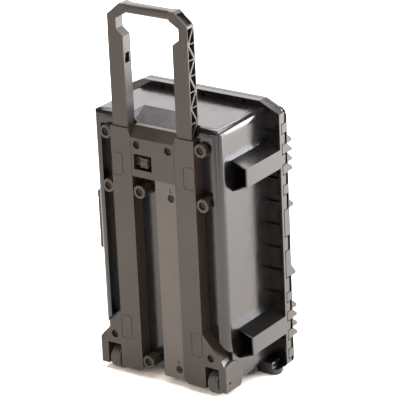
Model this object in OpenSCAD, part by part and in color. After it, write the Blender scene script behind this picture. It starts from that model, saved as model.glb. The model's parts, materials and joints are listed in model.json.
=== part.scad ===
// Wheeled hard case for a drone, standing upright with its pull handle drawn out.
// +X is the hinge side, -Y the back with the wheels and the handle, +Z is up.

/* [Overall size] */
// Height of the rim's upper edge above the floor
case_h = 559; // [460:1:680]
// Width across the rim
case_w = 363; // [340:1:440]
// Depth from the rear housings' face to the lid's front
case_d = 229; // [222:1:280]
// Height of the rim's lower edge above the floor
rim_z0 = 9; // [6:1:14]

/* [Tub] */
// Wall thickness of the tub and the lid
wall = 4; // [3:0.5:5]
// Width of the flange from the tub's side wall to the rim's edge
flange_w = 33.5; // [30:0.5:40]
// Step from the rim's upper edge to the tub's upper wall
end_lip = 13; // [10:0.5:18]
// Step from the rim's lower edge to the tub's lower wall
low_lip = 8.5; // [8.5:0.5:14]
// Radius of the tub's outer edges
tub_r = 16; // [12:1:22]
// Depth of the rear border behind the housings' face
border_y = 12; // [8:1:16]
// Depth of the recess floor that the housings are screwed to
floor_y = 27; // [25:0.5:32]
// Width of the rear border frame
border_w = 19; // [14:1:24]
// Depth at which the rim's rear edge starts
flange_y = 164; // [150:1:168]
// Depth of the parting plane between tub and lid
parting_y = 180; // [178:1:182]
// Running gap between lid and tub
lid_gap = 1; // [0.6:0.1:1.6]

/* [Rim] */
// Length of the rim's upper corner chamfers along X
rim_cx = 45; // [30:1:55]
// Length of the rim's upper corner chamfers along Z
rim_cz = 21; // [14:1:30]
// Length of the rim's lower corner chamfers
low_cut = 7; // [5:0.5:10]
// Radius of the lid's corners
lid_corner_r = 12; // [6:1:16]
// Thickness of the rim's outer lip
lip_t = 3.5; // [3:0.5:5]
// Pitch of the stiffening ribs under the flange
rib_pitch = 48; // [30:1:60]
// Thickness of those ribs
rib_t = 2; // [1.5:0.5:3]

/* [Hinge] */
// Distance of the hinge axis from the rim's outer face
hinge_in = 5; // [5:0.5:6]
// Radius of the hinge pin
hinge_pin_r = 2; // [1.5:0.25:2.25]
// Radius of the knuckles round the pin
knuckle_r = 4.6; // [4.2:0.1:4.8]
// Radial clearance of every pin in its running bore
pin_gap = 0.06; // [0.03:0.01:0.1]
// Height of a short lid tooth
tooth_h = 18.5; // [14:0.5:22]
// Height of a long lid tooth
long_tooth_h = 55; // [40:1:60]
// Pitch of the short teeth
tooth_pitch = 41; // [38:0.5:44]
// Reach of a tooth past the parting plane
tooth_reach = 8; // [7:0.5:8.5]
// Gap round a tooth
tooth_gap = 1.8; // [1:0.1:2.4]

/* [Pull handle] */
// Distance of a leg's inner face from the tub's side wall
leg_inset = 91; // [88:1:96]
// Width of a leg
leg_w = 35; // [30:1:38]
// Height of the handle's top above the case
handle_up = 210; // [180:1:215]
// Travel of the pull handle
handle_travel = 203; // [160:1:205]
// Wall between a leg and the outer face of its channel
channel_wall = 3; // [2:0.5:4]
// Sliding gap round a leg
leg_gap = 0.4; // [0.3:0.1:0.6]
// Wall thickness of the leg's ribs
truss_t = 2.2; // [1.8:0.2:3]
// Pitch of the leg's rungs
truss_pitch = 31; // [26:1:36]
// Height of the grip bar
grip_h = 19; // [16:1:24]

/* [Handle lock] */
// Height of the lock bolts' axis below the top of the case
lock_drop = 102; // [95:1:110]
// Height of a lock bolt
bolt_h = 18; // [14:1:20]
// Depth of a lock bolt
bolt_d = 12; // [9:0.5:13]
// Travel of a lock bolt
bolt_travel = 5; // [4:0.5:6]

/* [Wheels] */
// Radius of a wheel
wheel_r = 25; // [22:0.5:27]
// Width of a wheel's tread
wheel_w = 25; // [20:1:27]
// Distance a wheel stands out behind the housing
wheel_proud = 2; // [0:0.5:4]
// Radius of a wheel's axle
axle_r = 4; // [3:0.25:5]
// Width of the slot that holds a wheel
slot_w = 32; // [29:1:34]

/* [Screws] */
// Radius of a housing screw's head
head_r = 5; // [4:0.5:6]
// Radius of a housing screw's shank
screw_r = 2.4; // [2:0.1:3]
// Radius of a screw boss on the handle housings
boss_r = 14; // [12:0.5:15]

/* [Carry handle] */
// Length of the side carry handle
carry_len = 144; // [120:1:170]
// Height of the carry handle's middle above the floor
carry_z = 294; // [280:1:310]
// Distance from the carry handle's pivot to its grip
carry_arm = 40; // [36:1:46]

/* [Latches] */
// Width of a latch
latch_w = 46; // [36:1:54]
// Distance of each latch from the nearer end of the rim
latch_end = 112; // [90:1:130]
// Thickness of a latch lever
latch_t = 5; // [4:0.5:6]

/* [Foam] */
// Gap between a foam block and the shell round it
foam_gap = 0.5; // [0.4:0.1:1]
// Depth of foam left behind the pockets
foam_floor = 31; // [31:1:40]

/* [Hidden] */
$fn = 48;
eps = 0.5;

// Half sizes and end planes
rim_hx = case_w / 2;
rim_z1 = case_h;
tub_hx = rim_hx - flange_w;
tub_z0 = rim_z0 + low_lip;
tub_z1 = case_h - end_lip;
side_reach = rim_hx + 8.5;

// The frame's origin lies under the middle of the whole object
back_y = -wheel_proud;
mid_y = (back_y + case_d) / 2;

// Flange: a plate with a lip along its edge, open to the back
plate_y0 = flange_y + 7;
plate_y1 = plate_y0 + wall;
seal_x = tub_hx + 2;
seal_w = 5;
seal_r = tub_r + 6;

// Hinge
hinge_x = rim_hx - hinge_in;
hinge_y = parting_y;
swing_r = norm([hinge_in, tooth_reach]) + tooth_gap;
rail_z0 = rim_z0 + low_cut;
rail_z1 = rim_z1 - rim_cz;
hinge_edge_y = parting_y + lid_gap;
notch_y1 = parting_y + 7;
notch_r = norm([hinge_in, lid_gap]) + lid_gap;
mid_z = (rim_z0 + case_h) / 2;

// Lower edge and height of each lid tooth, from the top down
teeth = concat(
    [for (i = [0:3]) [case_h - 62 - i * (tooth_pitch + 0.7), tooth_h]],
    [[mid_z + 1, long_tooth_h], [mid_z - 1 - 84, long_tooth_h]],
    [for (i = [3:-1:0]) [rim_z0 + 17 + i * (tooth_pitch - 0.7), tooth_h]]
);

// Lid
lid_y0 = parting_y + lid_gap;
lid_band_y1 = parting_y + 10;
dome_in = 22;
dome_hx = rim_hx - dome_in;
dome_r = 20;
fin_h = 19.2;
fin_y1 = lid_band_y1 + 15;
fin_z = concat(
    [for (i = [0:3]) case_h - 144 + i * 19.4],
    [case_h - 219],
    [for (i = [0:3]) rim_z0 + 59 + i * 19.5]
);

// Channels and legs
leg_in = tub_hx - leg_inset;
leg_out = leg_in + leg_w;
leg_y0 = channel_wall + leg_gap;
leg_y1 = floor_y - leg_gap;
chan_in = leg_in - 7;
chan_out = leg_out + 5;
chan_z1 = case_h - 37;
house_out = tub_hx + 2;
house_z0 = rim_z0 + 4;
cavity_z0 = 150;

// Pull handle
handle_z1 = case_h + handle_up;
handle_z0 = case_h - 129;
bar_z0 = handle_z1 - grip_h;
bolt_z = case_h - lock_drop;
leg_web = 4;
lock_y0 = 7;
lock_y1 = 21;

// The leg's foot ends at leg_low_z, and its upper corner starts at leg_top_z
leg_low_z = handle_z0 + 60;
leg_top_z = bar_z0 - 34;
notch_w = 15;
corner_x = 30;
corner_z = 25;
grip_hx = leg_in - 6;
grip_mid_y = (leg_y0 + leg_y1) / 2;

function corner_line_z(x) = handle_z1 - (x - leg_out + corner_x) * corner_z / corner_x;

// Wheels
wheel_x = tub_hx - 31;
wheel_y = wheel_r - wheel_proud;
wheel_z = wheel_r;
drum_r = 36.5;
drum_y = 20;
drum_z = 37;
pocket_gap = 0.3;
hub_r = 17;

// Cross plate between the channels
plate_z0 = case_h - 132;
plate_z1 = case_h - 53;
plate_hx = chan_in - 0.5;
win_x0 = -plate_hx + 5;
win_x1 = -3;
win_z0 = bolt_z - 15;
win_z1 = bolt_z + 16;
strip_y = 4;
strip_z0 = 16;

// Screw places, as [x, z, depth of the head's seat]
lug_x = chan_out + boss_r - 0.5;
inner_x = chan_in - boss_r + 0.5;
lug_zs = [case_h - 53.5, case_h - 164];
low_z = 36;
seat_y = 8;
lug_screws = [for (s = [-1, 1], z = lug_zs) [s * lug_x, z]];
groove_screws = [[-inner_x, lug_zs[1]], [-inner_x, low_z]];
strip_screws = [[inner_x, lug_zs[1]], [inner_x, low_z]];
plate_screws = [[-inner_x, case_h - 67], [inner_x, case_h - 67]];
wheel_screws = [[-wheel_x + 2, 80], [wheel_x - 2, 80]];
all_screws = concat(lug_screws, groove_screws, strip_screws, plate_screws, wheel_screws);

// Feet that stand with the wheels, from this depth to the flange
stand_y0 = 136;

// Feet on the hinge side, as heights of their lower edges
foot_h = 64;
foot_rise = 14;
foot_fall = 12;
foot_y0 = 50;
foot_zs = [case_h - 144, 68];

// Carry handle
carry_px = -tub_hx - 14;
carry_py = 98;
carry_r = 7;
grip_x0 = -rim_hx + 1;
grip_x1 = -tub_hx - 9;
grip_y1 = carry_py - carry_arm + 12;
grip_y0 = grip_y1 - 20;

// Latches
latch_zs = [rim_z1 - latch_end, rim_z0 + latch_end];
latch_x0 = -side_reach;
latch_px = -side_reach + 3.5;
latch_py = flange_y - 9;
latch_pin_r = 2;

// Distance of the padlock holes from the rim's outer face
lock_in = 13;
trig_y = latch_py + 13;
trig_l = 15;
latch_y1 = lid_band_y1 + 1;

// Foam blocks
foam_hx = tub_hx - wall - foam_gap;
foam_top = tub_z1 - wall - foam_gap;
foam_low = tub_z0 + wall + foam_gap;
foam_y0 = floor_y + wall + foam_gap;
foam_y1 = foam_y0 + foam_floor;

// Bolt spring, a wire of six sides
spring_turns = 7;
spring_len = 41;
spring_r = 3.6;
wire_r = 0.5;
ring_sides = 6;
ring_steps = 12;
ring_count = spring_turns * ring_steps;

// Pressure valve
valve_y = 120;
valve_z = 180;

// Colours
black = [0.1, 0.1, 0.11];
housing_grey = [0.2, 0.19, 0.18];
steel = [0.7, 0.7, 0.72];
foam_grey = [0.16, 0.16, 0.17];
rubber = [0.05, 0.05, 0.05];

module placed() {
    translate([0, -mid_y, 0]) children();
}

module block(a, b) {
    translate(a) cube(b - a);
}

// A cylinder along X, Y or Z between two planes
module xrod(y, z, x0, x1, r) {
    translate([x0, y, z]) rotate([0, 90, 0]) cylinder(r = r, h = x1 - x0);
}

module yrod(x, z, y0, y1, r) {
    translate([x, y1, z]) rotate([90, 0, 0]) cylinder(r = r, h = y1 - y0);
}

module zrod(x, y, z0, z1, r) {
    translate([x, y, z0]) cylinder(r = r, h = z1 - z0);
}

// An outline drawn in X and Z, given depth along Y
module along_y(y0, y1) {
    translate([0, y1, 0]) rotate([90, 0, 0]) linear_extrude(y1 - y0) children();
}

// An outline drawn in Y and Z, given width along X
module along_x(x0, x1) {
    translate([x0, 0, 0]) rotate([90, 0, 90]) linear_extrude(x1 - x0) children();
}

module both_sides() {
    children();
    mirror([1, 0, 0]) children();
}

// The rim's outline, set in by a distance on every side
function rim_c() = rim_cz * rim_hx + rim_cx * (rim_z1 - rim_cz);
function rim_side_z(i) = (rim_c() - i * norm([rim_cx, rim_cz]) - rim_cz * (rim_hx - i)) / rim_cx;
function rim_end_x(i) = (rim_c() - i * norm([rim_cx, rim_cz]) - rim_cx * (rim_z1 - i)) / rim_cz;

module rim_outline(inset = 0) {
    x = rim_hx - inset;
    z = rim_z0 + inset;
    cut = low_cut - inset * (2 - sqrt(2));
    symmetric([
        [x - cut, z], [x, z + cut], [x, rim_side_z(inset)], [rim_end_x(inset), rim_z1 - inset]
    ]);
}

// An outline that is the same on both sides, from the points of its right half
module symmetric(half) {
    last = len(half) - 1;
    polygon(concat(half, [for (i = [last:-1:0]) [-half[i][0], half[i][1]]]));
}

// A box with round corners in X and Z
module round_rect(hx, z0, z1, r) {
    translate([-hx + r, z0]) square([2 * (hx - r), z1 - z0]);
    translate([-hx, z0 + r]) square([2 * hx, z1 - z0 - 2 * r]);
    for (x = [-hx + r, hx - r], z = [z0 + r, z1 - r]) translate([x, z]) circle(r);
}

// An outline whose two corners at its lower end are round
module round_end(u0, u1, v0, v1, r) {
    translate([u0, v0 + r]) square([u1 - u0, v1 - v0 - r]);
    translate([u0 + r, v0]) square([u1 - u0 - 2 * r, r + 1]);
    for (u = [u0 + r, u1 - r]) translate([u, v0 + r]) circle(r);
}

// A tub with all its edges round except those of its open end, which faces +Y
module round_tub(hx, z0, z1, y0, y1, r) {
    intersection() {
        along_y(y0, y1) round_rect(hx, z0, z1, r);
        translate([0, 0, z0 - 1]) linear_extrude(z1 - z0 + 2) round_end(-hx, hx, y0, y1 + 1, r);
        along_x(-hx - 1, hx + 1) mirror([1, -1]) round_end(z0, z1, y0, y1 + 1, r);
    }
}

// The same form closed towards +Y
module round_dome(hx, z0, z1, y0, y1, r) {
    translate([0, y0 + y1, 0]) mirror([0, 1, 0]) round_tub(hx, z0, z1, y0, y1, r);
}

// The wheel pockets in the tub's lower corners
module wheel_pocket(grow) {
    r = drum_r + pocket_gap + grow;
    both_sides() {
        xrod(drum_y, drum_z, chan_out - grow, house_out + eps, r);
        block([chan_out - grow, -eps, 0], [house_out + eps, drum_y, drum_z]);
        block([chan_out - grow, drum_y, 0], [house_out + eps, drum_y + r, drum_z]);
    }
}

// The scoop for the hand in the tub's upper end wall
module scoop(grow) {
    intersection() {
        along_x(-chan_out, chan_out) polygon([
            [border_y - eps, chan_z1 + 1 - grow], [20, chan_z1 + 2 - grow],
            [72 + 2 * grow, tub_z1 + 1], [border_y - eps, tub_z1 + 1]
        ]);
        along_y(0, 100) polygon([
            [-43 - grow, chan_z1 - 10], [43 + grow, chan_z1 - 10],
            [66 + grow, tub_z1 + 2], [-66 - grow, tub_z1 + 2]
        ]);
    }
}

// The outline of the rear recess
module recess_outline() {
    hx = tub_hx - border_w;
    top = tub_z1 - border_w - 8;
    symmetric([
        [chan_out + 1, tub_z1 + 1], [chan_out + 1, top], [hx - 6, top], [hx - 1.5, top - 1.5],
        [hx, top - 6], [hx, 112], [house_out + 1, 88], [house_out + 1, tub_z0 - 1]
    ]);
}

// A foot's outline: its lower and upper walls slope towards each other
module foot_outline(inset) {
    x0 = tub_hx - 1;
    x1 = rim_hx - inset;
    low = [for (x = [x0, x1]) foot_rise * (x - x0) / flange_w + inset * 1.08];
    high = [for (x = [x0, x1]) foot_h - foot_fall * (x - x0) / flange_w - inset * 1.06];
    polygon([[x0, low[0]], [x1, low[1]], [x1, high[1]], [x0, high[0]]]);
}

module hinge_feet(inset, y0, y1) {
    for (z = foot_zs) along_y(y0, y1) translate([0, z]) foot_outline(inset);
}

module flange_ribs() {
    count_z = floor((tub_z1 - tub_z0 - 60) / rib_pitch);
    for (i = [0:count_z], s = [-1, 1]) {
        z = mid_z + (i - count_z / 2) * rib_pitch;
        x = s * (tub_hx + rim_hx - lip_t) / 2;
        translate([x, flange_y + 4.5, z]) cube([flange_w - lip_t + 2, 6, rib_t], center = true);
    }
    count_x = floor((2 * tub_hx - 60) / rib_pitch);
    for (i = [0:count_x], span = [[rim_z0 + 1, tub_z0 + 1], [tub_z1 - 1, rim_z1 - 1]]) {
        x = (i - count_x / 2) * rib_pitch;
        block([x - rib_t / 2, flange_y + 1.5, span[0]], [x + rib_t / 2, flange_y + 7.5, span[1]]);
    }
}

module cavity() {
    difference() {
        union() {
            round_tub(tub_hx - wall, tub_z0 + wall, tub_z1 - wall, floor_y + wall, parting_y, tub_r - wall);
            for (s = [-1, 1]) {
                x = s * (tub_hx - 12.5);
                translate([x - 3.5, border_y + 13, 150]) cube([7, floor_y, tub_z1 - 200]);
            }
        }
        wheel_pocket(wall);
        scoop(wall);
    }
}

// Ears that hold the pin of the carry handle and of the latches
module carry_ears() {
    for (s = [-1, 1]) {
        z = carry_z + s * (carry_len / 2 + 4);
        translate([0, 0, z - 3]) {
            zrod(carry_px, carry_py, 0, 6, carry_r + 1);
            block([carry_px, carry_py - carry_r - 1, 0], [-tub_hx, carry_py + carry_r + 1, 6]);
        }
    }
}

module latch_ears() {
    for (c = latch_zs, s = [-1, 1]) {
        z = c + s * (latch_w / 2 + 3.5);
        block([-side_reach, latch_py - 5, z - 2.5], [-tub_hx, flange_y, z + 2.5]);
    }
}

module latch_brackets() {
    color(black) placed() difference() {
        latch_ears();
        for (c = latch_zs) {
            zrod(latch_px, latch_py, c - latch_w / 2 - 7, c + latch_w / 2 + 7, latch_pin_r);
        }
    }
}

module carry_brackets() {
    color(black) placed() difference() {
        carry_ears();
        zrod(carry_px, carry_py, carry_z - carry_len, carry_z + carry_len, 2.5);
    }
}

// Feet under the rim, which stand with the wheels
module standing_feet() {
    y = (stand_y0 + flange_y) / 2;
    r = (flange_y - stand_y0) / 2;
    color(black) placed() both_sides() difference() {
        union() {
            block([tub_hx - 19, stand_y0, 0], [rim_hx - r - 3, flange_y, tub_z0 + 8]);
            translate([rim_hx - r - 3, y, 0]) {
                cylinder(r1 = r - 3, r2 = r, h = 6);
                translate([0, 0, 6]) cylinder(r = r, h = rim_z0 - 2);
            }
        }
        along_y(stand_y0 - 1, plate_y1) round_rect(tub_hx, tub_z0, tub_z1, tub_r);
    }
}

// The tub's walls
module base_shell() {
    color(black) placed() difference() {
        round_tub(tub_hx, tub_z0, tub_z1, border_y, plate_y1, tub_r);
        cavity();
        along_y(border_y - eps, floor_y) recess_outline();
        wheel_pocket(0);
        scoop(0);
        for (s = all_screws) yrod(s[0], s[1], floor_y - 1, floor_y + wall - 0.5, screw_r + 0.1);
        xrod(120, 180, -tub_hx - 1, -tub_hx + wall + 1, 6);
    }
}

// The flange round the tub's mouth, with its hinge side's rail and feet
module base_rim() {
    color(black) placed() difference() {
        union() {
            along_y(plate_y0, plate_y1) rim_outline(0);
            along_y(flange_y, parting_y - lid_gap) difference() {
                rim_outline(0);
                rim_outline(lip_t);
            }
            along_y(plate_y1 - 1, parting_y - 1) difference() {
                round_rect(seal_x + seal_w, tub_z0 - 6, tub_z1 + 6, seal_r);
                round_rect(seal_x, tub_z0 - 2, tub_z1 + 2, seal_r - 4);
            }
            flange_ribs();
            difference() {
                hinge_feet(0, foot_y0, plate_y0 + 1);
                hinge_feet(3, foot_y0 - 1, plate_y0);
            }
            // The hinge side's rail, which the knuckles are cut from
            block([hinge_x, flange_y, rail_z0], [rim_hx, hinge_edge_y - lid_gap, rail_z1]);
            zrod(hinge_x, hinge_y, rail_z0, rail_z1, knuckle_r);
        }
        along_y(foot_y0 - 2, parting_y) round_rect(tub_hx, tub_z0, tub_z1, tub_r);
        hinge_feet(3, foot_y0 - 1, plate_y0);
        // Room for the lid's teeth to swing
        for (t = teeth) zrod(hinge_x, hinge_y, t[0] - tooth_gap, t[0] + t[1] + tooth_gap, swing_r);
        zrod(hinge_x, hinge_y, rim_z0 - 1, rim_z1 + 1, hinge_pin_r + pin_gap);
        for (z = [rim_z0 + 45, rim_z1 - 45]) yrod(-rim_hx + lock_in, z, flange_y, parting_y + 1, 4);
    }
}

module lid_tooth(t) {
    // The outer corner of a tooth is cut at 45 degrees on its upper side
    cut = 1.5;
    tip_y = parting_y - tooth_reach;
    along_x(hinge_x, rim_hx) polygon([
        [lid_y0 + 6, t[0]], [tip_y, t[0]], [tip_y, t[0] + t[1] - cut],
        [tip_y + cut, t[0] + t[1]], [lid_y0 + 6, t[0] + t[1]]
    ]);
    zrod(hinge_x, hinge_y, t[0], t[0] + t[1], knuckle_r);
}

// A gusset from the rim's edge to the dome
module lid_fin(z, h) {
    y = lid_band_y1 - 2;
    along_x(dome_hx - 2, rim_hx) polygon([
        [y, z], [fin_y1 - 1, z], [fin_y1, z + 1], [fin_y1, z + 4], [fin_y1 - 2, z + 7], [y, z + h]
    ]);
}

module lid_shell() {
    color(black) placed() difference() {
        union() {
            difference() {
                union() {
                    along_y(lid_y0, lid_band_y1) offset(lid_corner_r) offset(-lid_corner_r) rim_outline(0);
                    round_dome(
                        dome_hx, rim_z0 + dome_in, rim_z1 - dome_in, lid_band_y1 - 2, case_d - 3, dome_r
                    );
                    // Raised stiffening panel with a channel along its middle
                    along_y(case_d - 4, case_d) difference() {
                        round_rect(dome_hx - 30, rim_z0 + 54, rim_z1 - 54, 14);
                        round_rect(34, rim_z0 + 68, rim_z1 - 68, 10);
                    }
                }
                along_y(lid_y0 - 1, lid_band_y1 - 3) round_rect(
                    tub_hx - 2, tub_z0 + 2, tub_z1 - 2, tub_r - 4
                );
                round_dome(
                    dome_hx - wall, rim_z0 + dome_in + wall, rim_z1 - dome_in - wall,
                    lid_band_y1 - 4, case_d - 3 - wall, dome_r - wall
                );
                // Groove for the seal
                along_y(lid_y0 - 1, lid_y0 + 2.5) difference() {
                    round_rect(seal_x + seal_w, tub_z0 - 6, tub_z1 + 6, seal_r);
                    round_rect(seal_x, tub_z0 - 2, tub_z1 + 2, seal_r - 4);
                }
                // Room for the tub's knuckles to swing
                zrod(hinge_x, hinge_y, rim_z0 - 1, rail_z1 + 2, notch_r);
                block([hinge_x - 1, lid_y0 - 1, rim_z0 - 1], [rim_hx + 1, notch_y1, rail_z1 + 2]);
            }
            for (t = teeth) {
                lid_tooth(t);
                // Web from the tooth into the lid's plate
                block([hinge_x - 4, hinge_y + 2, t[0]], [rim_hx, notch_y1 + 1, t[0] + t[1]]);
            }
            for (z = fin_z) lid_fin(z, fin_h);
            lid_fin(case_h - 362, fin_h + 7);
        }
        zrod(hinge_x, hinge_y, rim_z0 - 1, rim_z1 + 1, hinge_pin_r + pin_gap);
        for (z = [rim_z0 + 45, rim_z1 - 45]) yrod(-rim_hx + lock_in, z, lid_y0 - 1, lid_band_y1 + 1, 4);
    }
}

module lid_seal() {
    color(rubber) placed() along_y(lid_y0 - 1.7, lid_y0 + 2.2) difference() {
        round_rect(seal_x + seal_w - 0.4, tub_z0 - 5.6, tub_z1 + 5.6, seal_r - 0.4);
        round_rect(seal_x + 0.4, tub_z0 - 2.4, tub_z1 + 2.4, seal_r - 3.6);
    }
}

// The tub's foam: a pad behind, and a block with pockets cut through it
module base_foam_pad() {
    color(foam_grey) placed() difference() {
        round_tub(foam_hx, foam_low, foam_top, foam_y0, parting_y, tub_r);
        block([-tub_hx, foam_y1, 0], [tub_hx, case_d, case_h]);
        wheel_pocket(wall + foam_gap);
        scoop(wall + foam_gap + 2);
    }
}

module foam_pocket(x, z, w, h) {
    along_y(foam_y1 - 1, parting_y) translate([x, 0]) round_rect(w / 2, z - h / 2, z + h / 2, 10);
}

module base_foam() {
    color(foam_grey) placed() difference() {
        along_y(foam_y1, parting_y - 9) round_rect(foam_hx, foam_low, foam_top, tub_r);
        scoop(wall + foam_gap + 2);
        foam_pocket(0, foam_top - 120, 2 * foam_hx - 60, 170);
        foam_pocket(0, foam_top - 275, 2 * foam_hx - 60, 100);
        for (x = [-1, 0, 1]) {
            foam_pocket(x * (foam_hx - 25) * 0.64, foam_low + 104.5, (foam_hx - 25) * 0.55, 90);
        }
    }
}

module lid_foam() {
    end = max(dome_in + wall, end_lip + wall) + 2 * foam_gap;
    color(foam_grey) placed() round_dome(
        tub_hx - wall - 2 * foam_gap, rim_z0 + end, rim_z1 - end,
        parting_y - 8, case_d - wall - 3 - foam_gap, dome_r - wall - foam_gap
    );
}

module hinge_pin() {
    color(steel) placed() zrod(
        hinge_x, hinge_y, rail_z0 - 4, rail_z1 + 4, hinge_pin_r
    );
}

// The outline of the right housing: a channel that widens over the wheel
module housing_outline() {
    polygon([
        [leg_in - 1, chan_z1], [chan_out, chan_z1], [chan_out, 128],
        [house_out - 28, 99], [house_out - 10, 80], [house_out, 60],
        [house_out, 24], [house_out - 9, house_z0], [chan_in + 9, house_z0],
        [chan_in, 24], [chan_in, chan_z1 - 15]
    ]);
}

// A thin engraved line round a small panel
module panel_line(x, z, w, h) {
    c = 4;
    t = 1.2;
    along_y(-eps, 0.8) translate([x, z]) difference() {
        cut_corner_rect(w, h, c);
        cut_corner_rect(w - 2 * t, h - 2 * t, c - 0.6 * t);
    }
}

module cut_corner_rect(w, h, c) {
    x = w / 2;
    y = h / 2;
    polygon([
        [x - c, -y], [x, -y + c], [x, y - c], [x - c, y],
        [-x + c, y], [-x, y - c], [-x, -y + c], [-x + c, -y]
    ]);
}

module screw_boss(x, z, edge) {
    yrod(x, z, 10, floor_y, boss_r - 1);
    translate([x, 10, z]) rotate([90, 0, 0]) rotate(22.5) cylinder(r = boss_r, h = 8.5, $fn = 8);
    block([min(x, edge), 14, z - 7], [max(x, edge), floor_y, z + 7]);
}

module screw_seat(x, z, y) {
    yrod(x, z, -eps, y, head_r + 3);
    yrod(x, z, -eps, floor_y + 40, screw_r + 0.1);
}

// The right housing; the left one mirrors it and has two more bosses in the groove
module housing(in_groove) {
    difference() {
        union() {
            along_y(0, floor_y) housing_outline();
            intersection() {
                xrod(drum_y, drum_z, chan_out + 0.5, house_out, drum_r);
                block([0, 0, house_z0], [house_out, 100, 100]);
            }
            for (z = lug_zs) screw_boss(lug_x, z, chan_out - 1);
            for (z = in_groove) screw_boss(inner_x, z, chan_in + 1);
        }
        // The leg's way, open at the top and towards the tub
        block(
            [leg_in - leg_gap, channel_wall, cavity_z0],
            [leg_out + leg_gap, floor_y + 1, chan_z1 + 1]
        );
        // The hollow below it
        block([chan_in + 4, channel_wall, 20], [chan_out - 4, floor_y + 1, cavity_z0 - 8]);
        // The lock bolt's way in
        block(
            [chan_in - 1, 14 - bolt_d / 2 - 0.5, bolt_z - bolt_h / 2 - 0.5],
            [leg_in, 14 + bolt_d / 2 + 0.5, bolt_z + bolt_h / 2 + 0.5]
        );
        // The wheel's slot
        xrod(wheel_y, wheel_z, wheel_x - slot_w / 2, wheel_x + slot_w / 2, wheel_r + 3);
        block(
            [wheel_x - slot_w / 2, -1, -1],
            [wheel_x + slot_w / 2, wheel_y, wheel_z + wheel_r + 10]
        );
        block([wheel_x - slot_w / 2, -1, -1], [wheel_x + slot_w / 2, wheel_y + wheel_r + 3, wheel_z]);
        xrod(wheel_y, wheel_z, chan_out - 10, house_out - 4, axle_r);
        for (z = lug_zs) screw_seat(lug_x, z, seat_y);
        for (z = in_groove) screw_seat(inner_x, z, seat_y);
        screw_seat(wheel_x - 2, 80, seat_y);
        panel_line((leg_in + leg_out) / 2 + 9.5, case_h - 113, 26, 47);
        panel_line((leg_in + leg_out) / 2 + 9.5, 102, 26, 50);
        // Slot in the end cap
        block([house_out - 2, 9, 29], [house_out + 1, 15, 33]);
    }
}

module handle_housing_right() {
    color(housing_grey) placed() housing([]);
}

module handle_housing_left() {
    color(housing_grey) placed() mirror([1, 0, 0]) housing([lug_zs[1], low_z]);
}

// The housing of the handle lock, between the two channels
module latch_housing() {
    color(housing_grey) placed() difference() {
        along_x(-plate_hx, plate_hx) polygon([
            [0, plate_z0], [0, plate_z1], [15, plate_z1 + 21], [floor_y, plate_z1 + 21],
            [floor_y, plate_z0]
        ]);
        block([-plate_hx + 4, 3, plate_z0 + 4], [plate_hx - 4, floor_y + 1, plate_z1 - 28]);
        block([win_x0, -1, win_z0], [win_x1, 4, win_z1]);
        block(
            [-plate_hx - 1, 14 - bolt_d / 2 - 0.5, bolt_z - bolt_h / 2 - 0.5],
            [plate_hx + 1, 14 + bolt_d / 2 + 0.5, bolt_z + bolt_h / 2 + 0.5]
        );
        for (s = plate_screws) screw_seat(s[0], s[1], seat_y);
        both_sides() along_y(-1, floor_y + 1) polygon([
            [plate_hx + 1, chan_z1 + 8], [leg_in - 1.5, chan_z1 + 8], [leg_in - 1.5, chan_z1],
            [plate_hx, chan_z1 - 15], [plate_hx + 1, chan_z1 - 15]
        ]);
    }
}

module centre_strip() {
    color([0.26, 0.25, 0.24]) placed() difference() {
        block([0.5, strip_y, strip_z0], [plate_hx, floor_y, plate_z0 - 0.5]);
        difference() {
            block([4.5, strip_y + 3, strip_z0 + 4], [plate_hx - 4, floor_y + 1, plate_z0 - 4]);
            for (s = strip_screws) yrod(s[0], s[1], 0, floor_y, boss_r - 3);
        }
        for (s = strip_screws) {
            screw_seat(s[0], s[1], seat_y + 2);
            block([s[0] - 3, strip_y - 1, s[1] + 12], [s[0] + 3, strip_y + 1.5, s[1] + 20]);
        }
    }
}

module screw(x, z, y) {
    difference() {
        union() {
            yrod(x, z, y - 3, y, head_r);
            yrod(x, z, y - 1, floor_y + wall - 0.6, screw_r);
        }
        yrod(x, z, y - 4, y - 1, 1.6);
    }
}

module housing_screws() {
    color(black) placed() {
        for (s = concat(lug_screws, groove_screws, plate_screws, wheel_screws)) {
            screw(s[0], s[1], seat_y);
        }
        for (s = strip_screws) screw(s[0], s[1], seat_y + 2);
    }
}

// The triangular hollows between a leg's rungs
module truss_pocket(i) {
    y0 = leg_y0 + truss_t;
    y1 = leg_y1 - truss_t;
    z1 = bar_z0 - 11 - i * truss_pitch;
    z0 = z1 - truss_pitch + truss_t;
    d = truss_t * 1.4;
    near = i % 2 == 0;
    upper = near ? [[y0, z1], [y1 - d, z1], [y0, z0 + d]] : [[y1, z1], [y0 + d, z1], [y1, z0 + d]];
    lower = near ? [[y1, z0], [y1, z1 - d], [y0 + d, z0]] : [[y0, z0], [y0, z1 - d], [y1 - d, z0]];
    // The leg is narrower beside the grip
    along_x(leg_in + leg_web + (z1 > bar_z0 - 50 ? notch_w : 0), leg_out + 1) {
        polygon(upper);
        polygon(lower);
    }
}

// The hollow in the outer corner, given as its distance from the corner's two ends
module corner_pocket() {
    d = [-corner_x, corner_z] / norm([corner_x, corner_z]);
    n = [-d[1], d[0]];
    a = [leg_out, handle_z1 - corner_z] + 3.5 * d;
    b = [leg_out - corner_x, handle_z1] - 7 * d;
    along_y(leg_y0 + truss_t, leg_y1 - truss_t) polygon([a - 3 * n, a + 7 * n, b + 7 * n, b - 3 * n]);
}

// The leg's foot, below its ribs, where the lock bolts go in
module handle_foot() {
    difference() {
        block([leg_in, leg_y0, handle_z0], [leg_out, leg_y1, leg_low_z]);
        block([leg_in - 1, lock_y0, bolt_z - 10], [leg_out + 1, lock_y1, bolt_z + 10]);
    }
}

module handle_foot_left() {
    color(housing_grey) placed() mirror([1, 0, 0]) handle_foot();
}

module handle_foot_right() {
    color(housing_grey) placed() handle_foot();
}

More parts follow.
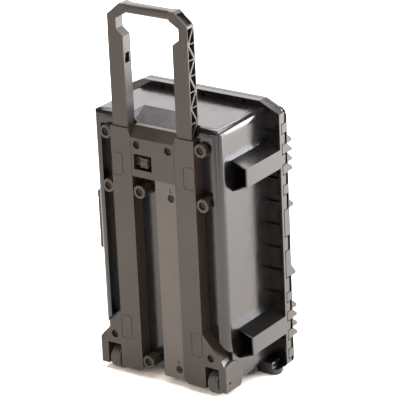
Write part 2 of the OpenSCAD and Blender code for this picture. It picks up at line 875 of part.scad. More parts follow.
module truss_pockets() {
    bays = floor((bar_z0 - 11 - leg_low_z) / truss_pitch);
    for (i = [0:bays - 1]) truss_pocket(i);
}

// The leg's straight part; its upper end slopes out to the narrow stretch beside the grip
module handle_leg() {
    difference() {
        along_y(leg_y0, leg_y1) polygon([
            [leg_in, leg_low_z], [leg_out, leg_low_z], [leg_out, leg_top_z],
            [leg_in + notch_w, leg_top_z], [leg_in, leg_top_z - 12]
        ]);
        truss_pockets();
        z = bolt_z + handle_travel;
        block([leg_in - 1, lock_y0, z - 10], [leg_in + leg_web + 1, lock_y1, z + 10]);
    }
}

module handle_leg_left() {
    color(housing_grey) placed() mirror([1, 0, 0]) handle_leg();
}

module handle_leg_right() {
    color(housing_grey) placed() handle_leg();
}

// The leg's upper corner, cut off at an angle
module handle_corner() {
    difference() {
        along_y(leg_y0, leg_y1) polygon([
            [leg_in + notch_w, leg_top_z], [leg_out, leg_top_z], [leg_out, handle_z1 - corner_z],
            [leg_in + notch_w, corner_line_z(leg_in + notch_w)]
        ]);
        truss_pockets();
        corner_pocket();
    }
}

module handle_corner_left() {
    color(housing_grey) placed() mirror([1, 0, 0]) handle_corner();
}

module handle_corner_right() {
    color(housing_grey) placed() handle_corner();
}

// The grip bar, with a flared end at each side that joins the corners
module handle_grip() {
    x = leg_in + notch_w;
    color(housing_grey) placed() difference() {
        union() {
            along_x(-grip_hx, grip_hx) translate([grip_mid_y, 0]) round_rect(
                (leg_y1 - leg_y0) / 2, bar_z0, handle_z1, 7
            );
            both_sides() difference() {
                along_y(leg_y0, leg_y1) polygon([
                    [grip_hx, bar_z0], [x, bar_z0 - 12], [x, corner_line_z(x)],
                    [leg_out - corner_x, handle_z1], [grip_hx, handle_z1]
                ]);
                corner_pocket();
            }
        }
        // Hollow along the grip's underside
        block([-grip_hx + 8, grip_mid_y - 4, bar_z0 - 1], [grip_hx - 8, grip_mid_y + 4, bar_z0 + 3]);
    }
}

// A short curved thumb lever behind the window
module release_lever() {
    x = (win_x0 + win_x1) / 2;
    z0 = win_z0 + 1.5;
    color([0.4, 0.39, 0.38]) placed() {
        intersection() {
            block([x - 7, 3.4, z0], [x + 7, 7.4, z0 + 23]);
            xrod(18, z0 + 11.5, x - 7, x + 7, 14.2);
        }
        block([x - 9, 5.4, z0 + 2], [x + 9, 7.4, z0 + 21]);
    }
}

module lock_bolt(side) {
    tip = leg_in - leg_gap - 0.3;
    back = 13;
    mirror([side < 0 ? 1 : 0, 0, 0]) difference() {
        block(
            [back, 14 - bolt_d / 2, bolt_z - bolt_h / 2],
            [tip + 0.4, 14 + bolt_d / 2, bolt_z + bolt_h / 2]
        );
        xrod(14, bolt_z, back - 1, back + 8, 4.6);
        block([back + 14, 7, bolt_z - 4], [back + 24, 21, bolt_z + 4]);
    }
}

module lock_bolt_left() {
    color(steel) placed() lock_bolt(-1);
}

module lock_bolt_right() {
    color(steel) placed() lock_bolt(1);
}

// A compression spring between the two bolts, wound along X
function spring_point(i, j) =
    let (a = 360 * i / ring_steps, b = 360 * j / ring_sides, r = spring_r + wire_r * cos(b))
    [spring_len * (i / ring_count - 0.5) + wire_r * sin(b), 14 + r * cos(a), bolt_z + r * sin(a)];

module bolt_spring() {
    points = [for (i = [0:ring_count], j = [0:ring_sides - 1]) spring_point(i, j)];
    sides = [
        for (i = [0:ring_count - 1], j = [0:ring_sides - 1])
            let (k = i * ring_sides, n = (j + 1) % ring_sides)
            each [[k + j, k + ring_sides + n, k + ring_sides + j], [k + j, k + n, k + ring_sides + n]]
    ];
    first = [for (j = [ring_sides - 1:-1:0]) j];
    last = [for (j = [0:ring_sides - 1]) ring_count * ring_sides + j];
    color(steel) placed() polyhedron(points, concat(sides, [first], [last]));
}

module wheel_hub(side) {
    mirror([side < 0 ? 1 : 0, 0, 0]) difference() {
        union() {
            xrod(wheel_y, wheel_z, wheel_x - wheel_w / 2, wheel_x + wheel_w / 2, hub_r);
            xrod(wheel_y, wheel_z, wheel_x - slot_w / 2 + 0.5, wheel_x + slot_w / 2 - 0.5, axle_r + 3);
        }
        xrod(wheel_y, wheel_z, 0, house_out, axle_r + pin_gap);
        for (s = [-1, 1]) {
            translate([wheel_x + s * wheel_w / 2, 0, 0]) difference() {
                xrod(wheel_y, wheel_z, -3, 3, hub_r - 2.5);
                xrod(wheel_y, wheel_z, -4, 4, axle_r + 4.5);
            }
        }
    }
}

module wheel_hub_left() {
    color(black) placed() wheel_hub(-1);
}

module wheel_hub_right() {
    color(black) placed() wheel_hub(1);
}

module wheel_tread(side) {
    h = wheel_w / 2;
    crown = 3;
    mirror([side < 0 ? 1 : 0, 0, 0]) translate([wheel_x, wheel_y, wheel_z]) rotate([0, 90, 0])
        rotate_extrude($fn = 96) polygon([
            [hub_r, -h], [wheel_r - crown, -h], [wheel_r - 0.8, -h + 2.4], [wheel_r, -h + 6],
            [wheel_r, h - 6], [wheel_r - 0.8, h - 2.4], [wheel_r - crown, h], [hub_r, h]
        ]);
}

module wheel_tread_left() {
    color(rubber) placed() wheel_tread(-1);
}

module wheel_tread_right() {
    color(rubber) placed() wheel_tread(1);
}

module axle(side) {
    mirror([side < 0 ? 1 : 0, 0, 0]) xrod(wheel_y, wheel_z, chan_out - 9, house_out - 5, axle_r);
}

module axle_left() {
    color(steel) placed() axle(-1);
}

module axle_right() {
    color(steel) placed() axle(1);
}

// The carry handle's two arms and the bar that joins them
module carry_handle_frame() {
    color(black) placed() difference() {
        for (s = [-1, 1]) {
            z = carry_z + s * (carry_len / 2 - 5);
            translate([0, 0, z - 5]) {
                zrod(carry_px, carry_py, 0, 10, carry_r);
                block([carry_px - carry_r, grip_y0 + 4, 0], [carry_px + carry_r, carry_py, 10]);
            }
        }
        zrod(carry_px, carry_py, 0, case_h, 2.5 + pin_gap);
    }
    color(black) placed() block(
        [carry_px - 4, grip_y0 + 6, carry_z - carry_len / 2 + 6],
        [carry_px + 3, grip_y1 - 6, carry_z + carry_len / 2 - 6]
    );
}

module carry_handle_grip() {
    gx = (grip_x0 + grip_x1) / 2;
    z0 = carry_z - carry_len / 2 + 10.3;
    z1 = carry_z + carry_len / 2 - 10.3;
    color(rubber) placed() difference() {
        hull() for (x = [grip_x0 + 8, grip_x1 - 8], y = [grip_y0 + 8, grip_y1 - 8]) {
            zrod(x, y, z0, z1, 8, $fn = 32);
        }
        block([carry_px - 4, grip_y0 + 6, z0 - 1], [carry_px + 3, grip_y1 - 6, z1 + 1]);
    }
}

module carry_handle_pins() {
    color(steel) placed() for (s = [-1, 1]) {
        z = carry_z + s * (carry_len / 2 - 1);
        zrod(carry_px, carry_py, z - 8, z + 8, 2.5);
    }
}

module latch(c) {
    x1 = latch_x0 + latch_t;
    difference() {
        union() {
            block([latch_x0, latch_py, c - latch_w / 2], [x1, latch_y1, c + latch_w / 2]);
            zrod(latch_px, latch_py, c - latch_w / 2, c + latch_w / 2, 3.5);
            block([latch_x0, latch_y1 - 5, c - latch_w / 2], [-rim_hx - 0.4, latch_y1, c + latch_w / 2]);
        }
        zrod(latch_px, latch_py, c - latch_w, c + latch_w, latch_pin_r + pin_gap);
        // The trigger's window
        block([latch_x0 - 1, trig_y - 4, c - 11], [x1 + 1, trig_y + trig_l + 0.5, c + 11]);
        zrod(latch_x0 + 2.5, trig_y, c - 16, c + 16, 1.2);
    }
}

module trigger(c) {
    difference() {
        union() {
            zrod(latch_x0 + 2.5, trig_y, c - 10.5, c + 10.5, 2.4);
            block([latch_x0 + 1, trig_y, c - 10.5], [latch_x0 + 4, trig_y + trig_l, c + 10.5]);
            for (i = [0:2]) {
                y = trig_y + 4.5 + i * 3.6;
                block([latch_x0 + 0.3, y, c - 9], [latch_x0 + 1.5, y + 1.4, c + 9]);
            }
        }
        zrod(latch_x0 + 2.5, trig_y, c - 12, c + 12, 1.2 + pin_gap);
    }
}

module latch_upper() {
    color(black) placed() latch(latch_zs[0]);
}

module latch_lower() {
    color(black) placed() latch(latch_zs[1]);
}

module trigger_upper() {
    color(housing_grey) placed() trigger(latch_zs[0]);
}

module trigger_lower() {
    color(housing_grey) placed() trigger(latch_zs[1]);
}

module trigger_pin(c) {
    color(steel) placed() zrod(latch_x0 + 2.5, trig_y, c - 15, c + 15, 1.2);
}

module trigger_pin_upper() {
    trigger_pin(latch_zs[0]);
}

module trigger_pin_lower() {
    trigger_pin(latch_zs[1]);
}

module latch_pins() {
    color(steel) placed() for (c = latch_zs) {
        zrod(latch_px, latch_py, c - latch_w / 2 - 6, c + latch_w / 2 + 6, latch_pin_r);
    }
}

module pressure_valve() {
    color(black) placed() difference() {
        union() {
            xrod(valve_y, valve_z, -tub_hx - 6, -tub_hx - 2, 11);
            xrod(valve_y, valve_z, -tub_hx - 3, -tub_hx + wall, 5.8);
        }
        for (a = [0:30:330]) {
            translate([-tub_hx - 7, valve_y, valve_z]) rotate([a, 0, 0]) {
                translate([0, 11, -1]) cube([6, 3, 2]);
            }
        }
        xrod(valve_y, valve_z, -tub_hx - 7, -tub_hx - 4, 5);
    }
}

module valve_seal() {
    color(rubber) placed() difference() {
        xrod(valve_y, valve_z, -tub_hx - 2, -tub_hx, 10);
        xrod(valve_y, valve_z, -tub_hx - 3, -tub_hx + 1, 5.8);
    }
}

base_shell();
base_rim();
latch_brackets();
carry_brackets();
standing_feet();
lid_shell();
lid_seal();
base_foam_pad();
base_foam();
lid_foam();
hinge_pin();
handle_housing_left();
handle_housing_right();
latch_housing();
centre_strip();
housing_screws();
handle_foot_left();
handle_foot_right();
handle_leg_left();
handle_leg_right();
handle_corner_left();
handle_corner_right();
handle_grip();
release_lever();
lock_bolt_left();
lock_bolt_right();
bolt_spring();
wheel_hub_left();
wheel_hub_right();
wheel_tread_left();
wheel_tread_right();
axle_left();
axle_right();
carry_handle_frame();
carry_handle_grip();
carry_handle_pins();
latch_upper();
latch_lower();
trigger_upper();
trigger_lower();
trigger_pin_upper();
trigger_pin_lower();
latch_pins();
pressure_valve();
valve_seal();
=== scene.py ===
"""The wheeled hard case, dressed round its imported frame. Metres, +Z up, -Y is the back."""

import json
import math

import bpy  # noqa: E402
from mathutils import Matrix, Vector  # noqa: E402


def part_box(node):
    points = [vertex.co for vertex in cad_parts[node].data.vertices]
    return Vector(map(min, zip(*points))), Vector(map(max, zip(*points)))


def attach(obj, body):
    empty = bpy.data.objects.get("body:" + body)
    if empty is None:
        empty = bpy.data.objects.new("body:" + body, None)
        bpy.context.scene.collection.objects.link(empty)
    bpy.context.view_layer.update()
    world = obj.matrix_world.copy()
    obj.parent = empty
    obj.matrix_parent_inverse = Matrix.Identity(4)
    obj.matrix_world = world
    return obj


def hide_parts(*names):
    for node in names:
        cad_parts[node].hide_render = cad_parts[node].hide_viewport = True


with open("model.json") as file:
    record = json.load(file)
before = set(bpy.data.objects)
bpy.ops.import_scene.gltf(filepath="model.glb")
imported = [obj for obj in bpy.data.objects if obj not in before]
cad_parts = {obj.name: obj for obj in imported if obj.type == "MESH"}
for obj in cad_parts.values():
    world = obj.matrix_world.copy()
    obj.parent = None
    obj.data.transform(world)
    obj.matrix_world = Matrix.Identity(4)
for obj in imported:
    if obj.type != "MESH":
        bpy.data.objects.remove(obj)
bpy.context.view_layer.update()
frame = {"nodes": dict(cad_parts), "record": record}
NODES = frame["nodes"]


# ---------------------------------------------------------------- camera
CAMERA_TARGET = Vector((0.107, -0.1135, 0.4079))
CAMERA_DISTANCE = 4.684
CAMERA_AZIMUTH = math.radians(35.99)
CAMERA_ELEVATION = math.radians(21.84)
CAMERA_ROLL = math.radians(-2.61)
CAMERA_LENS = 224.7


def make_camera():
    """A long lens, turned a little about its own axis."""
    a, e, r = CAMERA_AZIMUTH, CAMERA_ELEVATION, CAMERA_ROLL
    back = Vector((math.sin(a) * math.cos(e), -math.cos(a) * math.cos(e), math.sin(e)))
    right = Vector((math.cos(a), math.sin(a), 0))
    up = back.cross(right)
    turned_right = right * math.cos(r) + up * math.sin(r)
    turned_up = up * math.cos(r) - right * math.sin(r)
    camera = bpy.data.cameras.new("camera")
    camera.lens = CAMERA_LENS
    camera.clip_start, camera.clip_end = 0.1, 50
    holder = bpy.data.objects.new("camera", camera)
    bpy.context.scene.collection.objects.link(holder)
    axes = Matrix((turned_right, turned_up, back)).transposed().to_4x4()
    holder.matrix_world = Matrix.Translation(CAMERA_TARGET + back * CAMERA_DISTANCE) @ axes
    bpy.context.scene.camera = holder


# ---------------------------------------------------------------- stage and light
FLOOR_HALF = 30.0
FLOOR_Z = -0.0002  # just under the wheels, so that the two don't share a plane
GLOW_FROM, GLOW_FULL = 2.2, 5.0  # distances from the middle of the floor
WALL_RADIUS, WALL_HEIGHT, WALL_SIDES = 29.0, 6.0, 96


def make_stage():
    """A plain white floor under a pale sky."""
    mesh = bpy.data.meshes.new("floor")
    corners = ((-1, -1), (1, -1), (1, 1), (-1, 1))
    points = [(x * FLOOR_HALF, y * FLOOR_HALF, FLOOR_Z) for x, y in corners]
    mesh.from_pydata(points, [], [(0, 1, 2, 3)])
    floor = bpy.data.objects.new("floor", mesh)
    bpy.context.scene.collection.objects.link(floor)
    material = bpy.data.materials.new("floor")
    material.use_nodes = True
    shader = material.node_tree.nodes["Principled BSDF"]
    shader.inputs["Base Color"].default_value = (0.92, 0.865, 0.81, 1)
    shader.inputs["Roughness"].default_value = 0.9
    shader.inputs["Specular IOR Level"].default_value = 0.1
    far_glow(material, shader)
    mesh.materials.append(material)

    world = bpy.data.worlds.new("world")
    world.use_nodes = True
    sky = world.node_tree.nodes["Background"]
    sky.inputs["Color"].default_value = (1, 1, 1, 1)
    sky.inputs["Strength"].default_value = 0.2
    bpy.context.scene.world = world
    bpy.context.scene.view_settings.view_transform = "Standard"


def far_glow(material, shader):
    """Keeps the floor white beyond the lights' reach, so that low views have no grey horizon."""
    tree = material.node_tree
    place = tree.nodes.new("ShaderNodeTexCoord")
    length = tree.nodes.new("ShaderNodeVectorMath")
    length.operation = "LENGTH"
    tree.links.new(place.outputs["Object"], length.inputs[0])
    ramp = tree.nodes.new("ShaderNodeMapRange")
    ramp.inputs["From Min"].default_value = GLOW_FROM
    ramp.inputs["From Max"].default_value = GLOW_FULL
    ramp.inputs["To Min"].default_value = 0.0
    ramp.inputs["To Max"].default_value = 1.0
    tree.links.new(length.outputs["Value"], ramp.inputs["Value"])
    tree.links.new(ramp.outputs["Result"], shader.inputs["Emission Strength"])
    shader.inputs["Emission Color"].default_value = (1, 1, 1, 1)


def far_wall():
    """A white wall on the horizon."""
    points, faces = [], []
    for k in range(WALL_SIDES):
        turn = 2 * math.pi * k / WALL_SIDES
        x, y = WALL_RADIUS * math.cos(turn), WALL_RADIUS * math.sin(turn)
        points += [(x, y, FLOOR_Z), (x, y, WALL_HEIGHT)]
        n = (k + 1) % WALL_SIDES
        faces.append((2 * k, 2 * n, 2 * n + 1, 2 * k + 1))
    mesh = bpy.data.meshes.new("far_wall")
    mesh.from_pydata(points, [], faces)
    wall = bpy.data.objects.new("far_wall", mesh)
    bpy.context.scene.collection.objects.link(wall)
    material = bpy.data.materials.new("far_wall")
    material.use_nodes = True
    shader = material.node_tree.nodes["Principled BSDF"]
    shader.inputs["Base Color"].default_value = (0.8, 0.8, 0.8, 1)
    shader.inputs["Emission Color"].default_value = (1, 1, 1, 1)
    shader.inputs["Emission Strength"].default_value = 1.0
    mesh.materials.append(material)


def area_light(name, place, target, size, power, colour):
    """A soft box at a place, facing a target."""
    data = bpy.data.lights.new(name, "AREA")
    data.shape = "RECTANGLE"
    data.size, data.size_y = size
    data.energy = power
    data.color = colour
    light = bpy.data.objects.new(name, data)
    bpy.context.scene.collection.objects.link(light)
    direction = Vector(target) - Vector(place)
    light.rotation_euler = direction.to_track_quat("-Z", "Y").to_euler()
    light.location = place


def make_lights():
    """Large soft boxes: overhead, far side, right side, and two weak ones on the camera's side."""
    aim = (0, 0, 0.35)
    area_light("overhead_box", (0.2, 0.6, 3.4), aim, (4.2, 4.2), 420, (1, 0.985, 0.98))
    area_light("top_box", (-1.7, 2.3, 2.3), aim, (2.6, 2.6), 58, (1, 0.93, 0.94))
    area_light("side_box", (2.4, 2.4, 0.95), (0.6, 0.6, 0.1), (2.6, 1.5), 420, (0.95, 0.95, 1))
    area_light("back_fill", (-2.6, -2.6, 1.2), aim, (2.4, 1.6), 8, (1, 0.88, 0.78))
    area_light("floor_box", (0.5, -2.2, 1.5), (0.3, -1.0, 0), (2.0, 1.2), 48, (1, 0.93, 0.86))


# ---------------------------------------------------------------- materials
GRAIN_SCALE = 1400  # of moulded plastic's fine grain
FOAM_CELL_SCALE = 620
FOAM_SHEET = 0.025  # thickness of one glued sheet
SEAM_WIDTH = 0.0006


class Maker:
    """Adds shader nodes to one material, in the object's own metres."""

    def __init__(self, name):
        self.material = bpy.data.materials.new(name)
        self.material.use_nodes = True
        self.tree = self.material.node_tree
        self.shader = self.tree.nodes["Principled BSDF"]
        self.place = self.add("ShaderNodeTexCoord").outputs["Object"]

    def add(self, kind, **settings):
        node = self.tree.nodes.new(kind)
        for key, value in settings.items():
            setattr(node, key, value)
        return node

    def link(self, output, target):
        self.tree.links.new(output, target)

    def noise(self, scale, detail=3.0, rough=0.55):
        node = self.add("ShaderNodeTexNoise")
        node.inputs["Scale"].default_value = scale
        node.inputs["Detail"].default_value = detail
        node.inputs["Roughness"].default_value = rough
        self.link(self.place, node.inputs["Vector"])
        return node.outputs["Fac"]

    def spread(self, value, low, high, from_low=0.3, from_high=0.7):
        node = self.add("ShaderNodeMapRange")
        node.inputs["From Min"].default_value = from_low
        node.inputs["From Max"].default_value = from_high
        node.inputs["To Min"].default_value = low
        node.inputs["To Max"].default_value = high
        self.link(value, node.inputs["Value"])
        return node.outputs["Result"]

    def mix(self, factor, a, b):
        node = self.add("ShaderNodeMix", data_type="RGBA")
        for socket, value in ((node.inputs[6], a), (node.inputs[7], b)):
            if isinstance(value, tuple):
                socket.default_value = (*value, 1)
            else:
                self.link(value, socket)
        self.link(factor, node.inputs[0])
        return node.outputs[2]

    def bump(self, height, distance, strength=1.0, normal=None):
        node = self.add("ShaderNodeBump")
        node.inputs["Strength"].default_value = strength
        node.inputs["Distance"].default_value = distance
        self.link(height, node.inputs["Height"])
        if normal is not None:
            self.link(normal, node.inputs["Normal"])
        return node.outputs["Normal"]


def moulded(name, colour, rough, grain_depth=0.00006, dust=0.25, specular=0.5):
    """Moulded plastic: a fine spark-eroded grain, slow flow marks, scuffs and a little dust."""
    m = Maker(name)
    flow = m.noise(7, 4, 0.6)
    scuff = m.noise(90, 5, 0.7)
    dark = tuple(c * 0.82 for c in colour)
    pale = tuple(min(1, c * 1.22 + 0.0008) for c in colour)
    base = m.mix(m.spread(flow, 0, 1), dark, pale)
    dusty = tuple(min(1, c * 1.7 + 0.004) for c in colour)
    base = m.mix(m.spread(scuff, 0, dust, 0.52, 0.85), base, dusty)
    m.link(base, m.shader.inputs["Base Color"])
    m.link(m.spread(m.noise(26, 4, 0.65), rough - 0.05, rough + 0.08), m.shader.inputs["Roughness"])
    m.shader.inputs["Specular IOR Level"].default_value = specular
    coarse = m.bump(m.noise(38, 3), 0.0003, 0.35)
    fine = m.bump(m.noise(GRAIN_SCALE, 2, 0.5), grain_depth, 0.8, coarse)
    m.link(fine, m.shader.inputs["Normal"])
    return m.material


def metal(name, colour, rough, metallic=1.0):
    """Zinc-plated or blackened steel, a little stained."""
    m = Maker(name)
    stain = m.noise(60, 4, 0.6)
    base = m.mix(m.spread(stain, 0, 1), tuple(c * 0.75 for c in colour), colour)
    m.link(base, m.shader.inputs["Base Color"])
    m.shader.inputs["Metallic"].default_value = metallic
    m.link(m.spread(m.noise(300, 3), rough - 0.06, rough + 0.1), m.shader.inputs["Roughness"])
    m.link(m.bump(m.noise(900, 2), 0.00003, 0.6), m.shader.inputs["Normal"])
    return m.material


def rubber(name, colour, rough=0.62):
    """Soft black rubber with a patchy bloom of dust."""
    m = Maker(name)
    bloom = m.noise(45, 5, 0.7)
    dusty = tuple(c * 1.8 + 0.004 for c in colour)
    base = m.mix(m.spread(bloom, 0, 0.5, 0.45, 0.8), colour, dusty)
    m.link(base, m.shader.inputs["Base Color"])
    m.link(m.spread(m.noise(70, 3), rough - 0.08, rough + 0.1), m.shader.inputs["Roughness"])
    m.shader.inputs["Specular IOR Level"].default_value = 0.35
    m.link(m.bump(m.noise(700, 3), 0.00012, 0.7), m.shader.inputs["Normal"])
    return m.material


def foam(name, colour):
    """Closed-cell foam cut from glued sheets: burst cells with painted shade in their pits, and a
    seam between each two sheets.
    """
    m = Maker(name)
    cells = m.add("ShaderNodeTexVoronoi", feature="F1")
    cells.inputs["Scale"].default_value = FOAM_CELL_SCALE
    m.link(m.place, cells.inputs["Vector"])
    cell = cells.outputs["Distance"]
    split = m.add("ShaderNodeSeparateXYZ")
    m.link(m.place, split.inputs["Vector"])
    turns = m.add("ShaderNodeMath", operation="PINGPONG")
    turns.inputs[1].default_value = FOAM_SHEET / 2
    m.link(split.outputs["Y"], turns.inputs[0])
    seam = m.spread(turns.outputs[0], 0, 1, 0.0, SEAM_WIDTH)
    # Painted shade: darker towards each cell's middle, where the bump below sinks a pit.
    shade = m.mix(m.spread(cell, 0, 1, 0.0, 0.6), tuple(c * 0.55 for c in colour), colour)
    shade = m.mix(m.spread(m.noise(20, 4), 0, 0.35), shade, tuple(c * 1.5 for c in colour))
    shade = m.mix(seam, tuple(c * 0.3 for c in colour), shade)
    m.link(shade, m.shader.inputs["Base Color"])
    m.shader.inputs["Roughness"].default_value = 0.93
    m.shader.inputs["Specular IOR Level"].default_value = 0.15
    soft = m.bump(m.noise(60, 4, 0.7), 0.0006, 0.5)
    soft = m.bump(seam, 0.0008, 0.8, soft)
    m.link(m.bump(cell, 0.0006, 0.8, soft), m.shader.inputs["Normal"])
    return m.material


def make_materials():
    """Every material slot in the record, and the lock bolts' black steel."""
    return {
        "shell_plastic": moulded(
            "shell_plastic", (0.0030, 0.0027, 0.0026), 0.19, grain_depth=0.00002, dust=0.05
        ),
        # Partly painted reflection: the warm brown in the housing, strip and handle colours is
        # partly the plastics' own tint and partly a painted warm reflection.
        "housing_plastic": moulded(
            "housing_plastic", (0.0165, 0.0120, 0.0088), 0.34, specular=0.38
        ),
        "strip_plastic": moulded("strip_plastic", (0.043, 0.0350, 0.0290), 0.36, specular=0.46),
        "handle_plastic": moulded("handle_plastic", (0.0165, 0.0125, 0.0095), 0.33, specular=0.38),
        "lever_plastic": moulded("lever_plastic", (0.006, 0.0055, 0.005), 0.42),
        "latch_plastic": moulded("latch_plastic", (0.010, 0.0095, 0.0095), 0.30),
        "trigger_plastic": moulded("trigger_plastic", (0.030, 0.029, 0.029), 0.34),
        "hub_plastic": moulded("hub_plastic", (0.010, 0.0098, 0.0098), 0.34),
        "seal_rubber": rubber("seal_rubber", (0.010, 0.010, 0.010)),
        "grip_rubber": rubber("grip_rubber", (0.016, 0.0145, 0.013), 0.6),
        "tread": rubber("tread", (0.020, 0.0185, 0.017), 0.34),
        "foam": foam("foam", (0.035, 0.035, 0.038)),
        "steel": metal("steel", (0.22, 0.21, 0.20), 0.36),
        "black_steel": metal("black_steel", (0.012, 0.011, 0.010), 0.40, 0.6),
    }


# ---------------------------------------------------------------- CAD nodes
WELD_DISTANCE = 0.00002
FLAT_ANGLE = math.radians(0.6)
BEVEL_ANGLE = math.radians(32)


def edge_finish(piece, width):
    """Small moulded radii on a CAD node's edges."""
    weld = piece.modifiers.new("weld", "WELD")
    weld.merge_threshold = WELD_DISTANCE
    flat = piece.modifiers.new("flat_faces", "DECIMATE")
    flat.decimate_type = "DISSOLVE"
    flat.angle_limit = FLAT_ANGLE
    bevel = piece.modifiers.new("edge_radius", "BEVEL")
    bevel.width = width
    bevel.segments = 2
    bevel.limit_method = "ANGLE"
    bevel.angle_limit = BEVEL_ANGLE
    bevel.harden_normals = False
    bevel.use_clamp_overlap = True


EDGE_WIDTH = {
    "base_shell": 0.0012,
    "base_rim": 0.0009,
    "lid_shell": 0.0012,
    "standing_feet": 0.0015,
    "handle_housing_left": 0.0010,
    "handle_housing_right": 0.0010,
    "release_lever": 0.0005,
    "latch_brackets": 0.0006,
    "carry_brackets": 0.0006,
}
PLAIN_WIDTH = 0.0008
SHARP = {
    "lid_seal", "hinge_pin", "bolt_spring", "housing_screws", "latch_pins", "carry_handle_pins",
    "trigger_pin_upper", "trigger_pin_lower", "axle_left", "axle_right", "valve_seal",
    "wheel_tread_left", "wheel_tread_right", "trigger_upper", "trigger_lower",
}


def dress_cad_nodes(materials):
    """Gives each CAD node its slot's material and its edge radius."""
    slots = {row["node"]: row["material_slot"] for row in frame["record"]["subparts"]}
    for name, piece in NODES.items():
        black = name.startswith(("lock_bolt", "bolt_spring"))
        piece.data.materials.clear()
        piece.data.materials.append(materials["black_steel" if black else slots[name]])
        if name not in SHARP:
            edge_finish(piece, EDGE_WIDTH.get(name, PLAIN_WIDTH))


# ---------------------------------------------------------------- foam and rubber
def settle(piece, node, body, slot, materials):
    """Puts a made piece in a CAD node's place, on its body."""
    bpy.context.scene.collection.objects.link(piece)
    piece.data.materials.clear()
    piece.data.materials.append(materials[slot])
    piece.data.polygons.foreach_set("use_smooth", [True] * len(piece.data.polygons))
    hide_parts(node)
    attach(piece, body)


def cut_foam(node, voxel, materials):
    """A block of foam with its cut edges worn round."""
    mesh = NODES[node].data.copy()
    mesh.name = node + "_soft"
    piece = bpy.data.objects.new(node + "_soft", mesh)
    cells = piece.modifiers.new("cells", "REMESH")
    cells.mode = "VOXEL"
    cells.voxel_size = voxel
    cells.use_smooth_shade = True
    worn = piece.modifiers.new("worn_edges", "SMOOTH")
    worn.factor = 0.5
    worn.iterations = 3
    settle(piece, node, "base", "foam", materials)


CRATE_PITCH = 0.034
CRATE_DEPTH = 0.0085
CRATE_BORDER = 0.012  # flat border round the egg-crate face
CRATE_FADE = 0.008  # distance over which the waves grow from the border
PAD_STEP = 0.0028  # mesh size
PAD_CORNER = 0.0155  # radius of the corners, and of the edge behind


def crate_depth(x, z, hx, z0, z1):
    """How far the egg-crate face lies behind the pad's front plane."""
    edge = min(hx - abs(x), z - z0, z1 - z)
    fade = min(1.0, max(0.0, (edge - CRATE_BORDER) / CRATE_FADE))
    across = math.cos(2 * math.pi * x / CRATE_PITCH)
    along = math.cos(2 * math.pi * (z - z0) / CRATE_PITCH)
    wave = across * along
    return CRATE_DEPTH * fade * (0.5 - 0.5 * wave)


def lid_pad(materials):
    """The lid's pad: an egg-crate face inside a flat border, round edges behind."""
    low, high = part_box("lid_foam")
    hx, y0, y1, z0, z1 = high[0], low[1], high[1], low[2], high[2]
    mid_z, hz = (z0 + z1) / 2, (z1 - z0) / 2
    columns, rows = round(2 * hx / PAD_STEP), round(2 * hz / PAD_STEP)
    points, faces = [], []
    for j in range(rows + 1):
        z = z0 + (z1 - z0) * j / rows
        rise = max(0.0, PAD_CORNER - min(z - z0, z1 - z))
        half = hx - (PAD_CORNER - math.sqrt(max(0.0, PAD_CORNER**2 - rise**2)))
        for i in range(columns + 1):
            x = half * (2 * i / columns - 1)
            points.append((x, y0 + crate_depth(x, z, hx, z0, z1), z))
    wide = columns + 1
    for j in range(rows):
        for i in range(columns):
            a = j * wide + i
            faces.append((a, a + 1, a + wide + 1, a + wide))
    rim = (
        list(range(columns))
        + [j * wide + columns for j in range(rows)]
        + [rows * wide + i for i in range(columns, 0, -1)]
        + [j * wide for j in range(rows, 0, -1)]
    )
    ring = rim
    profile = [(y1 - PAD_CORNER, 0.0)]
    for k in range(1, 7):
        turn = math.pi / 2 * k / 6
        inset = PAD_CORNER * (1 - math.cos(turn))
        profile.append((y1 - PAD_CORNER * (1 - math.sin(turn)), inset))
    for y, inset in profile:
        start = len(points)
        for n in rim:
            x, _, z = points[n]
            points.append((x * (hx - inset) / hx, y, mid_z + (z - mid_z) * (hz - inset) / hz))
        fresh = list(range(start, start + len(rim)))
        for k in range(len(rim)):
            n = (k + 1) % len(rim)
            faces.append((ring[n], ring[k], fresh[k], fresh[n]))
        ring = fresh
    faces.append(tuple(ring))
    mesh = bpy.data.meshes.new("lid_foam_soft")
    mesh.from_pydata(points, [], faces)
    piece = bpy.data.objects.new("lid_foam_soft", mesh)
    settle(piece, "lid_foam", "lid", "foam", materials)


GRIP_CORNER = 0.008
GRIP_END = 0.004  # radius of the grip's two end edges
GRIP_PLAIN = 0.012  # length without ribs at each end
RIB_PITCH = 0.0075
RIB_DEPTH = 0.0011


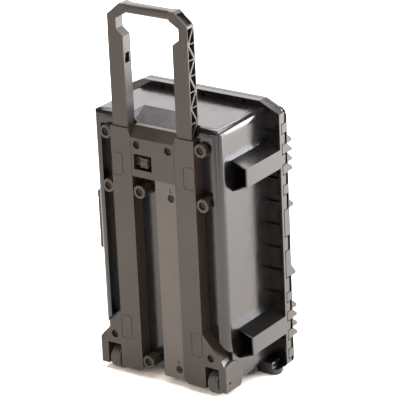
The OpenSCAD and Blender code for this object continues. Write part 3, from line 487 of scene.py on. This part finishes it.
def carry_grip(materials):
    """The carry handle's rubber grip: a soft rectangle with finger ribs along it."""
    low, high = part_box("carry_handle_grip")
    cx, cy = (low[0] + high[0]) / 2, (low[1] + high[1]) / 2
    hx, hy = (high[0] - low[0]) / 2, (high[1] - low[1]) / 2
    z0, z1, around, count = low[2], high[2], 12, 124
    stations = []
    for k in range(count + 1):
        z = z0 + (z1 - z0) * k / count
        end = min(z - z0, z1 - z)
        inset = 0.0
        if end < GRIP_END:
            inset = GRIP_END - math.sqrt(max(0.0, GRIP_END**2 - (GRIP_END - end) ** 2))
        elif end > GRIP_PLAIN:
            wave = math.cos(2 * math.pi * (z - z0) / RIB_PITCH)
            inset = RIB_DEPTH * max(0.0, wave) ** 0.6
        stations.append((z, inset))
    points, faces = [], []
    for z, inset in stations:
        for q in range(4):
            sx, sy = ((1, 1), (-1, 1), (-1, -1), (1, -1))[q]
            for k in range(around):
                a = math.pi / 2 * (q + k / (around - 1))
                points.append((
                    cx + sx * (hx - GRIP_CORNER) + (GRIP_CORNER - inset) * math.cos(a),
                    cy + sy * (hy - GRIP_CORNER) + (GRIP_CORNER - inset) * math.sin(a),
                    z,
                ))
    loop = 4 * around
    for k in range(count):
        for n in range(loop):
            m = (n + 1) % loop
            faces.append((k * loop + n, k * loop + m, (k + 1) * loop + m, (k + 1) * loop + n))
    faces.append(tuple(range(loop - 1, -1, -1)))
    faces.append(tuple(count * loop + n for n in range(loop)))
    mesh = bpy.data.meshes.new("carry_grip_ribbed")
    mesh.from_pydata(points, [], faces)
    piece = bpy.data.objects.new("carry_grip_ribbed", mesh)
    settle(piece, "carry_handle_grip", "carry_handle", "grip_rubber", materials)


TREAD_BORE = 0.017
SHOULDER_WIDE, SHOULDER_HIGH = 0.0045, 0.0016
GROOVE_AT = 0.0035  # each groove's distance from the tread's middle
GROOVE_PROFILE = ((-0.0007, 0), (-0.0004, 0.0005), (0.0004, 0.0005), (0.0007, 0))


def tread_grooves(side, materials):
    """A wheel's tread with two fine moulding grooves round it."""
    node = "wheel_tread_" + side
    low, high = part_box(node)
    cx, cy, cz = ((low[i] + high[i]) / 2 for i in range(3))
    half, radius = (high[0] - low[0]) / 2, (high[1] - low[1]) / 2
    outline = [(-half, TREAD_BORE), (-half, radius - 0.0045), (-half + 0.0006, radius - 0.0028)]
    for k in range(5):
        turn = math.pi / 2 * k / 4
        outline.append((
            -half + 0.0062 - SHOULDER_WIDE * math.cos(turn),
            radius - SHOULDER_HIGH + SHOULDER_HIGH * math.sin(turn),
        ))
    for middle in (-GROOVE_AT, GROOVE_AT):
        for offset, depth in GROOVE_PROFILE:
            outline.append((middle + offset, radius - depth))
    outline += [(-u, r) for u, r in reversed(outline[:8])]
    points, faces, turns = [], [], 96
    for k in range(turns):
        a = 2 * math.pi * k / turns
        points += [(cx + u, cy + r * math.cos(a), cz + r * math.sin(a)) for u, r in outline]
    row = len(outline)
    for k in range(turns):
        n = (k + 1) % turns
        for i in range(row):
            j = (i + 1) % row
            faces.append((k * row + i, k * row + j, n * row + j, n * row + i))
    mesh = bpy.data.meshes.new(node + "_moulded")
    mesh.from_pydata(points, [], faces)
    piece = bpy.data.objects.new(node + "_moulded", mesh)
    settle(piece, node, "wheel_" + side, "tread", materials)


make_camera()
make_stage()
far_wall()
make_lights()
MATERIALS = make_materials()
dress_cad_nodes(MATERIALS)
cut_foam("base_foam", 0.0030, MATERIALS)
cut_foam("base_foam_pad", 0.0040, MATERIALS)
lid_pad(MATERIALS)
carry_grip(MATERIALS)
for wheel in ("left", "right"):
    tread_grooves(wheel, MATERIALS)
